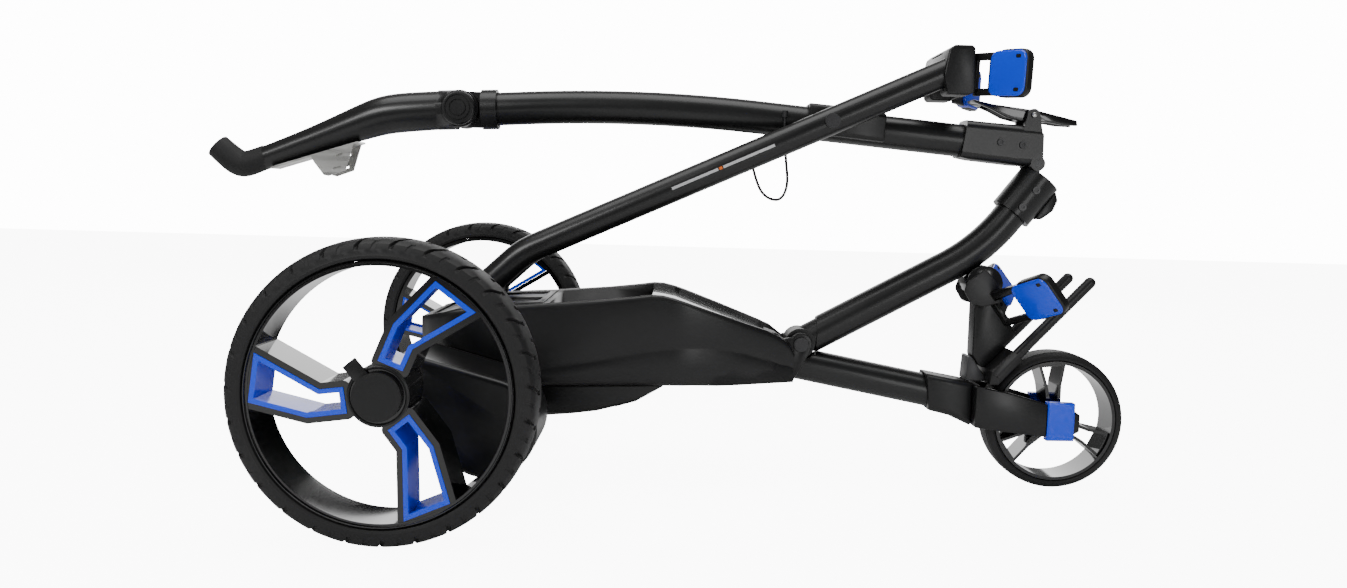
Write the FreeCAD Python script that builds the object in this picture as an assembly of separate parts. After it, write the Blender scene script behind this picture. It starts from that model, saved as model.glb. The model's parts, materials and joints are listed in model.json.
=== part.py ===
import FreeCAD, Part
import math
import os

# Three-wheel electric golf trolley in its folded state.
# Layout: X runs forward from the rear axle, Y to the left, Z up from the ground (millimetres).

# ---- driving dimensions ----
gap = 0.2                      # air between pieces bonded or seated in one body
clear = 0.5                    # air between pieces that move past each other
rear_radius = 140.0
rear_width = 58.0
half_track = 276.0
rim_radius = 119.8
barrel_inner = 115.4
hub_radius = 28.0
drive_axle_radius = 8.0
front_radius = 79.0
front_width = 44.0
front_wheel_x = 699.0
front_barrel_inner = 65.0
front_rim_radius = 68.5
tube_radius = 18.5             # handle tube, mast and front tube
tube_wall = 1.8
strut_radius = 15.0
strut_offset = 40.0            # each strut tube from the middle plane
tray_half = 95.0
well_floor = 124.0
mast_pivot = (405.0, 160.0)    # (x, z) of each hinge axis
strut_root = (46.0, 214.0)
fold_hinge = (663.3, 370.2)
strut_pivot = (427.0, 409.0)
handle_pivot = (16.0, 414.0)
lever_pivot = (656.0, 424.0)
mast_elbow = (610.0, 271.7)
mast_root_z = 158.6            # height of the mast's centre line above its pivot's x
head_angle = 52.8              # slope of the mast above its bend, degrees
cable_radius = 1.6

parts = {}


def place(x, y, z):
    return FreeCAD.Vector(x, y, z)


def drum(radius, centre, y_from, y_to):
    """Cylinder across the cart, about a centre (x, z)."""
    low, high = min(y_from, y_to), max(y_from, y_to)
    return Part.makeCylinder(radius, high - low, place(centre[0], low, centre[1]), place(0, 1, 0))


def ring(outer, inner, centre, y_from, y_to):
    return drum(outer, centre, y_from, y_to).cut(drum(inner, centre, y_from - 1, y_to + 1))


def rod(radius, start, end):
    run = place(*end) - place(*start)
    return Part.makeCylinder(radius, run.Length, place(*start), run)


def cone(radius_from, radius_to, start, end):
    run = place(*end) - place(*start)
    return Part.makeCone(radius_from, radius_to, run.Length, place(*start), run)


def box(x_from, x_to, y_from, y_to, z_from, z_to):
    corner = place(x_from, y_from, z_from)
    return Part.makeBox(x_to - x_from, y_to - y_from, z_to - z_from, corner)


def side_face(outline, y):
    corners = [place(x, y, z) for x, z in outline]
    return Part.Face(Part.makePolygon(corners + corners[:1]))


def slab(outline, y_from, y_to):
    """Side outline in (x, z) carried from y_from to y_to."""
    low, high = min(y_from, y_to), max(y_from, y_to)
    return side_face(outline, low).extrude(place(0, high - low, 0))


def plan_slab(outline, z_from, z_to):
    """Plan outline in (x, y) carried from z_from to z_to."""
    corners = [place(x, y, z_from) for x, y in outline]
    return Part.Face(Part.makePolygon(corners + corners[:1])).extrude(place(0, 0, z_to - z_from))


def section_slab(outline, x_from, x_to):
    """Cross-section outline in (y, z) carried from x_from to x_to."""
    corners = [place(x_from, y, z) for y, z in outline]
    return Part.Face(Part.makePolygon(corners + corners[:1])).extrude(place(x_to - x_from, 0, 0))


def join(pieces):
    return pieces[0].multiFuse(pieces[1:]).removeSplitter()


def solids(pieces):
    return Part.makeCompound(pieces)


def mirrored(shape):
    return shape.mirror(place(0, 0, 0), place(0, 1, 0))


def soften(shape, radius, chosen):
    """Fillet the edges that chosen(edge) picks."""
    edges = [edge for edge in shape.Edges if chosen(edge)]
    return shape.makeFillet(radius, edges)


def along_y(edge):
    start, end = edge.Vertexes[0].Point, edge.Vertexes[-1].Point
    run = end - start
    return run.Length > 1 and abs(run.y) > 0.99 * run.Length


def path_wire(points, radii):
    """Straight runs joined by tangent arcs, one radius for each inner point."""
    edges = []
    last = place(*points[0])
    for index, radius in enumerate(radii):
        corner = place(*points[index + 1])
        before = (place(*points[index]) - corner).normalize()
        after = (place(*points[index + 2]) - corner).normalize()
        half_turn = (math.pi - before.getAngle(after)) / 2
        reach = radius * math.tan(half_turn)
        arc_start = corner + before * reach
        arc_end = corner + after * reach
        inward = (before + after).normalize()
        arc_middle = corner + inward * (radius / math.cos(half_turn) - radius)
        edges.append(Part.LineSegment(last, arc_start).toShape())
        edges.append(Part.Arc(arc_start, arc_middle, arc_end).toShape())
        last = arc_end
    edges.append(Part.LineSegment(last, place(*points[-1])).toShape())
    return Part.Wire(edges)


def swept(points, radii, section):
    wire = path_wire(points, radii)
    start = place(*points[0])
    run = place(*points[1]) - start
    circle = Part.Wire(Part.makeCircle(section, start, run))
    return wire.makePipeShell([circle], True, True)


def bent_tube(points, radii, outer, wall):
    return swept(points, radii, outer).cut(swept(points, radii, outer - wall))


def screws(places, radius, y_face):
    """Socket screws seated from a side face inwards; y_face carries its own sign."""
    heads = []
    side = 1 if y_face > 0 else -1
    for spot in places:
        head = drum(radius, spot, y_face, y_face + side * 1.6)
        socket = drum(radius * 0.45, spot, y_face + side * 0.6, y_face + side * 2.6)
        heads.append(head.cut(socket))
    return heads


# ---- rear wheels ----
axle = (0.0, rear_radius)
window_points = [(115.0, -11.3), (52.0, 1.5), (31.5, -7.0), (31.5, 38.0), (66.0, 25.5), (115.0, 11.3)]
spoke_angles = [173.0, 53.0, -67.0]
spoke_border = 5.5


def window_wire(angle, y):
    corners = []
    for radius, offset in window_points:
        turn = math.radians(angle + offset)
        corners.append(place(radius * math.cos(turn), y, rear_radius + radius * math.sin(turn)))
    return Part.makePolygon(corners + corners[:1])


def window_prism(angle, grow, y_from, y_to):
    wire = window_wire(angle, y_from)
    if grow:
        wire = wire.makeOffset2D(grow)
    return Part.Face(wire).extrude(place(0, y_to - y_from, 0))


def rear_wheel(side):
    """The right wheel is modelled at negative Y; the left one is its mirror image."""
    outer = -half_track - rear_width / 2
    inner = -half_track + rear_width / 2
    tyre = ring(rear_radius, rim_radius + gap, axle, outer, inner)
    tyre = soften(tyre, 9.0, lambda edge: edge.BoundBox.ZMax > 2 * rear_radius - 1 and edge.Closed)
    shells = [window_prism(angle, spoke_border, outer + 2, inner - 2) for angle in spoke_angles]
    spokes = join(shells + [drum(hub_radius, axle, outer + 1, inner - 1)])
    spokes = spokes.common(drum(barrel_inner + 1, axle, outer, inner))
    barrel = ring(rim_radius, barrel_inner, axle, outer + 1.5, inner - 1.5)
    rim = barrel.fuse(spokes)
    for angle in spoke_angles:
        rim = rim.cut(window_prism(angle, 0, outer, inner))
    rim = rim.cut(drum(drive_axle_radius + 0.05, axle, outer, inner))
    liners = []
    for angle in spoke_angles:
        front = window_prism(angle, -gap, outer + 1, outer + 7).cut(window_prism(angle, -4.6, outer, outer + 8))
        deep = window_prism(angle, -gap, outer + 7, inner - 2).cut(window_prism(angle, -2.6, outer + 6, inner))
        liners.append(front.fuse(deep).removeSplitter())
    shaft = drum(drive_axle_radius, axle, outer + 3, -112)
    cap_face = outer + 1 - gap
    cap = drum(22, axle, cap_face, cap_face - 6.4).cut(drum(19.5, axle, cap_face + 1, cap_face - 3.8))
    slot = tab_shape(7.4, 6, 42, cap_face + 1, cap_face - 3.9)
    cap = cap.cut(slot)
    tab = tab_shape(7.0, 11, 39, cap_face - 0.4, cap_face - 3.5)
    named = {"tyre": tyre, "rim": rim, "spoke_liners": solids(liners), "drive_shaft": shaft,
             "hub_cap": cap, "release_tab": tab}
    for name, shape in named.items():
        parts["rear_" + name + "_" + side] = shape if side == "right" else mirrored(shape)


def tab_shape(half_width, near, far, y_from, y_to):
    """Radial tongue pointing up and back from the hub's centre."""
    tongue = slab([(near, -half_width), (far, -half_width), (far, half_width), (near, half_width)], y_from, y_to)
    tongue.rotate(place(0, 0, 0), place(0, -1, 0), 130)
    tongue.translate(place(axle[0], 0, axle[1]))
    return tongue


rear_wheel("right")
rear_wheel("left")


# ---- chassis ----
tray_side = [(-14, 150), (-14, 186), (40, 200), (91, 203), (181, 210), (240, 218), (266, 213), (374, 175),
             (390, 163), (396, 150), (396, 118), (333, 118), (268, 117), (60, 112)]
tray_plan = [(-14, 66), (12, 90), (40, tray_half), (270, tray_half), (330, 78), (396, 44)]
tray_section = [(-96, 260), (-96, 140), (-91, 124), (-80, 114), (-66, 110), (66, 110), (80, 114), (91, 124),
                (96, 140), (96, 260)]
belly_side = [(100, 112.7), (100, 78), (114, 75), (178, 85), (221, 98), (252, 116.3)]


def plan_both(outline):
    return outline + [(x, -y) for x, y in reversed(outline)]


def inset(outline, amount):
    return [(x, y - amount) for x, y in outline]


def chassis_tray():
    body = slab(tray_side, -tray_half - 5, tray_half + 5)
    body = body.common(plan_slab(plan_both(tray_plan), 60, 260))
    body = body.common(section_slab(tray_section, -40, 420))
    well = box(126, 238, -tray_half + 7, tray_half - 7, well_floor, 260)
    terminal_seat = box(126, 146, -tray_half + 7, tray_half - 7, well_floor - 0.6, 260)
    front_pocket = plan_slab(plan_both(inset(tray_plan, 6)), 124, 260).common(box(243, 362, -95, 95, 100, 260))
    rear_pocket = plan_slab(plan_both(inset(tray_plan, 6)), 124, 260).common(box(-4, 120, -90, 90, 100, 260))
    ledge = plan_slab(plan_both(inset(tray_plan, 6)), 205.5, 260).common(box(235.5, 262, -95, 95, 200, 260))
    nose_slot = box(362 - gap, 420, -27.5, 27.5, 105, 260)
    for hollow in (well, terminal_seat, front_pocket, rear_pocket, ledge, nose_slot):
        body = body.cut(hollow)
    return body


def nose_deck():
    profile = [(236, 214.6), (262, 210.4), (361.6, 175.4), (361.6, 172.2), (262, 207.2), (236, 211.4)]
    lid = slab(profile, -95, 95)
    lid = lid.common(plan_slab(plan_both(inset(tray_plan, 6.3)), 60, 260))
    skirt = slab([(238.6, 205.7), (242.8, 205.7), (242.8, 211.6), (238.6, 212.2)], -82, 82)
    return lid.fuse(skirt).removeSplitter()


def rear_deck():
    """Raised block behind the battery well, slotted for the two strut roots."""
    profile = [(-3.5, 176), (-3.5, 186), (40, 201), (91, 204.5), (119.6, 206), (119.6, 194), (60, 188)]
    deck = slab(profile, -84, 84).common(plan_slab(plan_both(inset(tray_plan, 6.3)), 60, 260))
    ears = []
    for low, high in ((-73, -59), (-21, 21), (59, 73)):
        ear = drum(15, strut_root, low, high).fuse(box(31, 61, low, high, 192, 214))
        ears.append(ear)
    deck = join([deck] + ears)
    for middle in (-strut_offset, strut_offset):
        low, high = middle - 18.5, middle + 18.5
        deck = deck.cut(slab([(10, 260), (10, 197), (60, 190), (112, 204), (112, 260)], low, high))
    cradle = drum(6.6, strut_root, -80, 80)
    mouth = slab([(36.5, 213), (52.6, 213), (52.6, 260), (-12, 260), (26, 224)], -80, 80)
    return deck.cut(cradle).cut(mouth)


parts["chassis_tray"] = chassis_tray()
parts["nose_deck"] = nose_deck()
parts["rear_deck"] = rear_deck()
belly = slab(belly_side, -72, 72)
belly = belly.common(section_slab([(-73, 120), (-73, 100), (-62, 82), (-44, 74), (44, 74), (62, 82), (73, 100),
                                   (73, 120)], 90, 260))
parts["belly_cover"] = belly.cut(box(110, 215, -66, 66, 92, 120))
parts["controller"] = box(120, 200, -50, 50, 93, 108)
parts["battery_terminal"] = box(126.5, 136, -26, 26, well_floor - 0.4, 150).fuse(
    solids([box(136, 144, y - 3, y + 3, 130, 142) for y in (-14, 14)])).removeSplitter()


def hull_pair(first, radius_first, second, radius_second, y_from, y_to):
    """Outline tangent to two circles, carried from y_from to y_to."""
    across = math.hypot(second[0] - first[0], second[1] - first[1])
    heading = math.atan2(second[1] - first[1], second[0] - first[0])
    lean = math.acos((radius_first - radius_second) / across)
    corners = []
    for centre, radius, turn in ((first, radius_first, lean), (second, radius_second, lean),
                                 (second, radius_second, -lean), (first, radius_first, -lean)):
        angle = heading + turn
        corners.append((centre[0] + radius * math.cos(angle), centre[1] + radius * math.sin(angle)))
    pieces = [drum(radius_first, first, y_from, y_to), drum(radius_second, second, y_from, y_to),
              slab(corners, y_from, y_to)]
    return join(pieces)


def drive_pod():
    motor_axis = (78.0, 90.0)
    outer_wall, inner_wall = -196.0, -tray_half - 1.2
    shell = hull_pair(axle, 22, motor_axis, 50, outer_wall, inner_wall)
    shell = soften(shell, 5.0, lambda edge: abs(edge.BoundBox.YMin - outer_wall) < 0.1 and
                   abs(edge.BoundBox.YMax - outer_wall) < 0.1)
    shell = shell.cut(hull_pair(axle, 18, motor_axis, 46, outer_wall + 4, inner_wall - 4))
    shell = shell.cut(drum(14.2, axle, outer_wall - 1, outer_wall + 6))
    bearing = ring(14.0, drive_axle_radius + 0.05, axle, outer_wall - 3, outer_wall + 5)
    motor = drum(36, motor_axis, -186, -106).fuse(drum(12, motor_axis, -191, -186)).removeSplitter()
    for name, shape in {"drive_housings": shell, "axle_bearings": bearing, "motors": motor}.items():
        parts[name] = solids([shape, mirrored(shape)])


drive_pod()


# ---- front end ----
front_hub = (front_wheel_x, front_radius)
tube_slope = -0.185


def front_line(x):
    return 135.5 + tube_slope * (x - 404.4)


def nose_bracket():
    plates = []
    for low, high in ((-27, -tube_radius - 1), (tube_radius + 1, 27)):
        cheek = slab([(364, 119), (398, 119), (416, 152), (394, 168), (364, 160)], low, high)
        plates.append(cheek.fuse(drum(13, mast_pivot, low, high)))
    floor = box(364, 398, -27, 27, 118.5, 122)
    body = join(plates + [floor])
    return body.cut(drum(5.05, mast_pivot, -40, 40)).cut(front_tube_core(tube_radius + gap))


def front_tube_core(radius):
    return rod(radius, (364, 0, front_line(364)), (596, 0, front_line(596)))


knuckle_room = drum(tube_radius + 1, mast_pivot, -30, 30)
front_tube = front_tube_core(tube_radius).cut(front_tube_core(tube_radius - tube_wall))
parts["nose_bracket"] = nose_bracket()
saddle_cut = slab([(350, 200), (350, 150), (405, 150), (405, 141), (416, 143.5), (434, 152.5), (434, 200)], -30, 30)
parts["front_tube"] = front_tube.cut(knuckle_room).cut(saddle_cut)
parts["mast_pivot_pin"] = join([drum(5, mast_pivot, -27.4, 27.4), drum(8, mast_pivot, -30, -27.4),
                                drum(8, mast_pivot, 27.4, 30)])

sleeve_outline = [(550, 129.5), (602.6, 120.5), (602.6, 70.5), (578, 81.5), (554, 87)]
sleeve = slab(sleeve_outline, -22, 22)
sleeve = soften(sleeve, 7.0, lambda edge: abs(edge.BoundBox.YMax - edge.BoundBox.YMin) < 0.1 and
                edge.BoundBox.XLength > 20)
parts["front_sleeve"] = sleeve.cut(front_tube_core(tube_radius + gap))


def fork_arm(y_low, y_high):
    arm = slab([(603, 119), (640, 112.5), (684, 100.5), (684, 63.5), (640, 67.5), (603, 72)], y_low, y_high)
    tongue = slab([(683, 96), (712, 96), (722, 89), (722, 70), (712, 64), (683, 66)],
                  y_low + 2.2, y_high - 2.2)
    return arm.fuse(tongue).cut(drum(4.05, front_hub, -60, 60))


arms = [fork_arm(-37.5, -27.5), fork_arm(27.5, 37.5)]
crown = slab([(603, 119), (613, 117.2), (613, 71), (603, 72)], -37.5, 37.5)
parts["front_fork"] = join(arms + [crown])


def fork_cap(y_low, y_high):
    cap = slab([(684.3, 103), (715, 102.5), (715, 59.5), (684.3, 59)], y_low, y_high)
    cap = soften(cap, 2.0, lambda edge: edge.BoundBox.YLength < 0.1)
    hole = slab([(684, 96.2), (720, 96.2), (720, 62.8), (684, 65.6)], y_low + 1.6, y_high - 1.6)
    return cap.cut(hole).cut(drum(4.1, front_hub, -36, 36))


parts["fork_caps"] = solids([fork_cap(-39.1, -25.9), fork_cap(25.9, 39.1)])
parts["front_axle"] = drum(4, front_hub, -35, 35)


def front_wheel():
    half = front_width / 2
    tyre = ring(front_radius, front_rim_radius + gap, front_hub, -half, half)
    tyre = soften(tyre, 8.0, lambda edge: edge.BoundBox.ZMax > 2 * front_radius - 1 and edge.Closed)
    barrel = ring(front_rim_radius, front_barrel_inner, front_hub, -half + 1, half - 1)
    hub = drum(13, front_hub, -half, half)
    blades = []
    for angle in (95, 215, 335):
        blade = slab([(10, -7), (40, -9.5), (67, -16), (67, 16), (40, 9.5), (10, 7)], -half + 4, half - 4)
        blade = blade.cut(slab([(16, -3.5), (40, -6), (62, -11.5), (62, 11.5), (40, 6), (16, 3.5)], -half, half))
        blade.rotate(place(0, 0, 0), place(0, -1, 0), angle)
        blade.translate(place(front_hub[0], 0, front_hub[1]))
        blades.append(blade)
    rim = join([barrel, hub] + blades).common(drum(front_rim_radius, front_hub, -half, half))
    parts["front_tyre"] = tyre
    parts["front_rim"] = rim.cut(drum(4.06, front_hub, -half - 1, half + 1))


front_wheel()

# ---- lower bag bracket ----
bag_lean = 37.0                # the bag's supports face this far above straight ahead, degrees


def cradle_arm(root, reach, height, pad_from, lean, thick):
    """Looped arm that splays out to the right, and the pad on its outer half."""
    length = place(*reach).Length
    frame = slab([(0, -height / 2), (length - 8, -height / 2), (length, -height / 2 + 10),
                  (length, height / 2 - 10), (length - 8, height / 2), (0, height / 2)], -thick / 2, thick / 2)
    window = slab([(6, -height / 2 + 8), (pad_from - 4, -height / 2 + 8), (pad_from - 4, height / 2 - 8),
                   (6, height / 2 - 8)], -thick, thick)
    frame = frame.cut(window)
    pad = slab([(pad_from, -height / 2 - 2.5), (length - 7, -height / 2 - 2.5), (length + 2.5, -height / 2 + 8),
                (length + 2.5, height / 2 - 8), (length - 7, height / 2 + 2.5), (pad_from, height / 2 + 2.5)],
               -thick / 2 - 4, thick / 2 + 4)
    pad = soften(pad, 2.5, lambda edge: edge.BoundBox.YLength < 0.1)
    pad = pad.cut(slab([(pad_from - 1, -height / 2 - gap), (length - 8, -height / 2 - gap),
                        (length + gap, -height / 2 + 10), (length + gap, height / 2 - 10),
                        (length - 8, height / 2 + gap), (pad_from - 1, height / 2 + gap)],
                       -thick / 2 - gap, thick / 2 + gap))
    along = place(*reach).normalize()
    up = place(-math.sin(math.radians(lean)), 0, math.cos(math.radians(lean)))
    up = (up - along * up.dot(along)).normalize()
    across = up.cross(along)
    turn = FreeCAD.Matrix(along.x, across.x, up.x, root[0], along.y, across.y, up.y, root[1],
                          along.z, across.z, up.z, root[2], 0, 0, 0, 1)
    return frame.transformGeometry(turn), pad.transformGeometry(turn)


column_side = [(603, 150), (603, 208), (609, 222), (634, 224), (630, 208), (642, 191), (652, 176),
               (632, 152), (616, 137), (610, 140)]
column = slab(column_side, -13, 13)
cup_centre = (611.0, 233.0)
mast_points = [(mast_pivot[0], 0, mast_root_z), (mast_elbow[0], 0, mast_elbow[1]),
               (mast_elbow[0] + 75 * math.cos(math.radians(head_angle)), 0,
                mast_elbow[1] + 75 * math.sin(math.radians(head_angle)))]
mast_bend = 212.0
mast_room = swept(mast_points, [mast_bend], tube_radius + clear)
parts["bracket_column"] = column
parts["mast_rest"] = drum(21, cup_centre, -19, 19).cut(mast_room).cut(box(560, 700, -30, 30, 180, 224.3))
parts["bracket_boot"] = slab([(596, 121.9), (622, 121.9), (611, 136), (602, 149.7), (598, 149.7)], -16, 16)

foot_points = [(618, 124), (724, 239)]
prongs = []
for y in (-35, 35):
    prong = rod(6.2, (624, y, 131), (foot_points[1][0], y, foot_points[1][1]))
    prongs.append(prong.fuse(Part.makeSphere(6.2, place(foot_points[1][0], y, foot_points[1][1]))))
heel = slab([(616, 122), (626, 122), (652, 151), (641, 161), (634, 154), (618, 137)], -41, 41)
parts["bag_foot"] = join(prongs + [heel]).cut(slab(column_side, -13 - gap, 13 + gap)).cut(
    slab([(590, 121.7), (622.2, 121.7), (612, 136.3), (606, 150), (590, 150)], -16.2, 16.2))

lower_root = (628.0, -13.4, 204.0)
arm, pad = cradle_arm(lower_root, (37.5, -85.0, 28.3), 44, 44, bag_lean, 6)
arm = arm.cut(slab(column_side, -13 - gap, 13 + gap)).cut(drum(21.3, cup_centre, -19.3, 19.3))
parts["lower_arms"] = solids([arm, mirrored(arm)])
parts["lower_pads"] = solids([pad, mirrored(pad)])


# ---- mast ----
head_dir = (math.cos(math.radians(head_angle)), math.sin(math.radians(head_angle)))


def head_point(along, across):
    """Point in the upper mast's own axes: along it and across towards the fold hinge."""
    x = 641.5 + along * head_dir[0] - across * head_dir[1]
    z = 313.2 + along * head_dir[1] + across * head_dir[0]
    return (x, z)


def head_rod(radius, start, end):
    first, last = head_point(start, 0), head_point(end, 0)
    return rod(radius, (first[0], 0, first[1]), (last[0], 0, last[1]))


mast_tube = bent_tube(mast_points, [mast_bend], tube_radius, tube_wall)
root_end = slab([(380, 120), (424, 120), (424, 190), (408, 200), (380, 190)], -30, 30)
parts["mast_tube"] = mast_tube.cut(root_end)
plug = swept(mast_points, [mast_bend], tube_radius - tube_wall - gap).common(box(400, 470, -30, 30, 120, 260))
knuckle = drum(tube_radius - 1.5, mast_pivot, -tube_radius + 0.6, tube_radius - 0.6)
plug = plug.fuse(knuckle).removeSplitter()
parts["mast_root"] = plug.cut(drum(5.06, mast_pivot, -30, 30))

head_room = slab([(560, 366.2), (590, 366.2), (640, 367.2), (700, 366.0), (700, 420), (560, 420)], -40, 40)
head = head_rod(23.8, 0, 52).cut(head_rod(tube_radius + gap, -2, 40))
head = head.cut(head_room)
ear = drum(8.2, fold_hinge, -8.8, 8.8).fuse(slab([head_point(38, 4), head_point(38, 22), (656, 368), fold_hinge,
                                                   (671, 366), head_point(50, 4)], -8.8, 8.8))
ear = ear.cut(head_rod(tube_radius + gap, -2, 40))
head = head.cut(drum(8.7, fold_hinge, -30, -9)).cut(drum(8.7, fold_hinge, 9, 30))
parts["mast_head"] = join([head, ear]).cut(drum(4.06, fold_hinge, -30, 30))
catch_outline = [head_point(20, -23), head_point(50, -23), head_point(44, -31), head_point(32, -34.3),
                 head_point(26, -33), head_point(16, -30), head_point(12, -25)]
parts["latch_catch"] = slab(catch_outline, -7, 7).cut(head_rod(23.8 + gap, -2, 60))
mast_screw_spots = [head_point(34, 0), head_point(10, 0)]
parts["mast_screws"] = solids(screws(mast_screw_spots, 4.2, -24.1) + screws(mast_screw_spots, 4.2, 24.1))

# ---- handle tube ----
tube_points = [(40, 0, 414.6), (216, 0, 426), (650, 0, 388.2)]
tube_bend = 1750.0
handle_core = swept(tube_points, [tube_bend], tube_radius + gap)
parts["handle_tube"] = bent_tube(tube_points, [tube_bend], tube_radius, tube_wall).cut(box(20, 54, -30, 30, 380, 450))

block_side = [(583, 417), (657, 411.8), (668.5, 403), (669, 367.2), (640, 367.9), (590, 372.5), (577, 375.5)]
block = slab(block_side, -21.5, 21.5)
block = soften(block, 9.0, lambda edge: edge.BoundBox.YLength < 0.1 and edge.BoundBox.XLength > 20)
lugs = []
for low, high in ((-21.5, -9.3), (9.3, 21.5)):
    lugs.append(drum(8.2, fold_hinge, low, high))
block = join([block] + lugs)
ear_room = drum(9.0, fold_hinge, -9.3, 9.3).fuse(box(650, 690, -9.3, 9.3, 350, 386))
block = block.cut(ear_room).cut(handle_core)
block = block.cut(drum(4.06, fold_hinge, -30, 30))
posts = []
for low, high in ((-21, -14.5), (14.5, 21)):
    post = slab([(644, 400), (668, 400), (663, 424), (649, 424)], low, high).fuse(drum(7, lever_pivot, low, high))
    posts.append(post.cut(handle_core))
parts["tube_head"] = join([block] + posts).cut(drum(3.06, lever_pivot, -30, 30))
parts["hinge_pins"] = solids([drum(4, fold_hinge, -21.4, 21.4), drum(3, lever_pivot, -23, 23)])
parts["head_screws"] = solids(screws([(620.8, 392.9), (645.5, 390.3)], 4.2, -21.7) +
                              screws([(620.8, 392.9), (645.5, 390.3)], 4.2, 21.7))

lever_side = [(589, 440), (612, 435.5), (663, 429.5), (707, 419.5), (708, 413.5), (690, 414), (672, 417),
              (645, 417), (628, 421), (612, 429), (591, 437)]
lever = slab(lever_side, -14, 14)
lever = lever.cut(slab([(600, 400), (640, 400), (640, 424), (622, 430), (600, 434)], -8, 8))
lever = lever.cut(slab([(674, 400), (712, 400), (712, 416.1), (674, 424.7)], -8.4, 8.4))
parts["lock_lever"] = lever.cut(drum(3.06, lever_pivot, -30, 30))

pivot_block = slab([(406, 397), (490, 389), (492, 421), (470, 426), (406, 431)], -22.5, 22.5)
pivot_block = soften(pivot_block, 6.0, lambda edge: edge.BoundBox.YLength < 0.1 and edge.BoundBox.XLength > 15)
parts["strut_saddle"] = pivot_block.cut(handle_core)
cable_exit = (378.4, -20.7, 414.0)
parts["cable_grommet"] = rod(3.2, cable_exit, (378.4, -20.7, 421.0)).cut(handle_core)

# ---- strut with the upper bag bracket ----
strut_top = (572.0, 475.0)


def strut_path(y):
    return [(strut_root[0], y, strut_root[1]), (92, y, 257), (strut_top[0], y, strut_top[1])]


def strut_tube(y):
    tube = bent_tube(strut_path(y), [100.0], strut_radius, tube_wall)
    tube = tube.cut(drum(16.2, strut_root, y - 20, y + 20))
    return tube.cut(drum(5.05, strut_pivot, y - 20, y + 20)).cut(box(562, 600, -60, 60, 430, 500))


parts["strut_tubes"] = solids([strut_tube(-strut_offset), strut_tube(strut_offset)])
knuckles = []
for y in (-strut_offset, strut_offset):
    lug = drum(15, strut_root, y - 14, y + 14)
    neck = swept(strut_path(y), [100.0], strut_radius - tube_wall - gap).common(
        box(40, 80, y - 20, y + 20, 190, 260))
    knuckles.append(lug.fuse(neck).removeSplitter())
parts["strut_roots"] = join([knuckles[0], knuckles[1], drum(5, strut_root, -74, 74)])
bolts = []
for side in (-1, 1):
    bolts.append(join([drum(5, strut_pivot, side * 25.2, side * 55.4),
                       drum(8.2, strut_pivot, side * 55.2, side * 58.4)]))
parts["strut_bolts"] = solids(bolts)

bracket_side = [(545, 462), (550, 489), (556, 494), (578, 494), (580, 444), (574, 441), (550, 441)]
bracket = slab(bracket_side, -57, 57)
bracket = soften(bracket, 5.0, lambda edge: along_y(edge))
for y in (-strut_offset, strut_offset):
    bracket = bracket.cut(swept(strut_path(y), [100.0], strut_radius + gap).common(
        box(530, 562.4, y - 20, y + 20, 430, 500)))
bracket = bracket.cut(box(540, 573, -23, 23, 430, 487))
parts["bag_bracket"] = bracket
upper_arm, upper_pad = cradle_arm((580.2, -44.0, 463.5), (42.0, -58.0, -3.0), 46, 26, 0.0, 6)
upper_arm = upper_arm.cut(slab([(540, 430), (580.2, 430), (580.2, 500), (540, 500)], -60, 60))
parts["upper_arms"] = solids([upper_arm, mirrored(upper_arm)])
parts["upper_pads"] = solids([upper_pad, mirrored(upper_pad)])

# ---- handle ----
joint_ring = rod(22.3, (38.5, 0, 414.5), (56, 0, 415.2)).cut(handle_core)
tongue = drum(20, handle_pivot, -7.8, 7.8).fuse(slab([(16, 394.2), (40, 394.2), (40, 433.8), (16, 433.8)],
                                                     -7.8, 7.8))
tongue = tongue.cut(handle_core)
parts["handle_joint"] = joint_ring.fuse(tongue).removeSplitter().cut(drum(5.06, handle_pivot, -30, 30))

cheeks = []
for low, high in ((-21.5, -8.3), (8.3, 21.5)):
    cheeks.append(drum(20.5, handle_pivot, low, high))
collar = rod(22.3, (-12, 0, 412.5), (10, 0, 413.6)).cut(drum(20.6, handle_pivot, -8.3, 8.3))
bridge = rod(21.4, (-8, 0, 412.5), (14, 0, 413.6)).cut(box(-30, 40, -8.3, 8.3, 380, 450))
collar = join([collar, bridge] + cheeks).cut(drum(5.06, handle_pivot, -30, 30))
collar = collar.common(box(-60, 60, -21.5, 21.5, 350, 480))
collar = collar.cut(ring(60, 22.0, handle_pivot, -30, 30).common(box(16, 90, -30, 30, 350, 480)))

stem_points = [(-12, 0, 412.4), (-68, 0, 407.5), (-205, 0, 354.5)]
stem_parts = [rod(22, stem_points[0], stem_points[1]),
              Part.makeSphere(22, place(*stem_points[1])),
              cone(22, 14, stem_points[1], (-158, 0, 372.7)),
              Part.makeSphere(14.4, place(-158, 0, 372.7)),
              cone(14, 12.6, (-158, 0, 372.7), stem_points[2])]
parts["handle_stem"] = join([collar] + stem_parts)
grip_points = [(-205.3, 0, 354.4), (-237, 0, 342.2), (-262, 0, 365.5)]
parts["handle_grip"] = swept(grip_points, [17.0], 14.2)
stem_room = join([rod(22 + gap, stem_points[0], stem_points[1]), Part.makeSphere(22 + gap, place(*stem_points[1])),
                  cone(22 + gap, 14 + gap, stem_points[1], (-158, 0, 372.7)),
                  Part.makeSphere(14.6, place(-158, 0, 372.7)),
                  cone(14 + gap, 12.6 + gap, (-158, 0, 372.7), stem_points[2])])
plate_strip = slab([(-196, 341.6), (-98, 372.9), (-98.6, 374.8), (-196.6, 343.5)], -16, 16)
flange = slab([(-151, 357.5), (-147, 350), (-136, 336), (-131, 335), (-112, 342), (-103, 372.8)], -18, -15)
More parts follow.
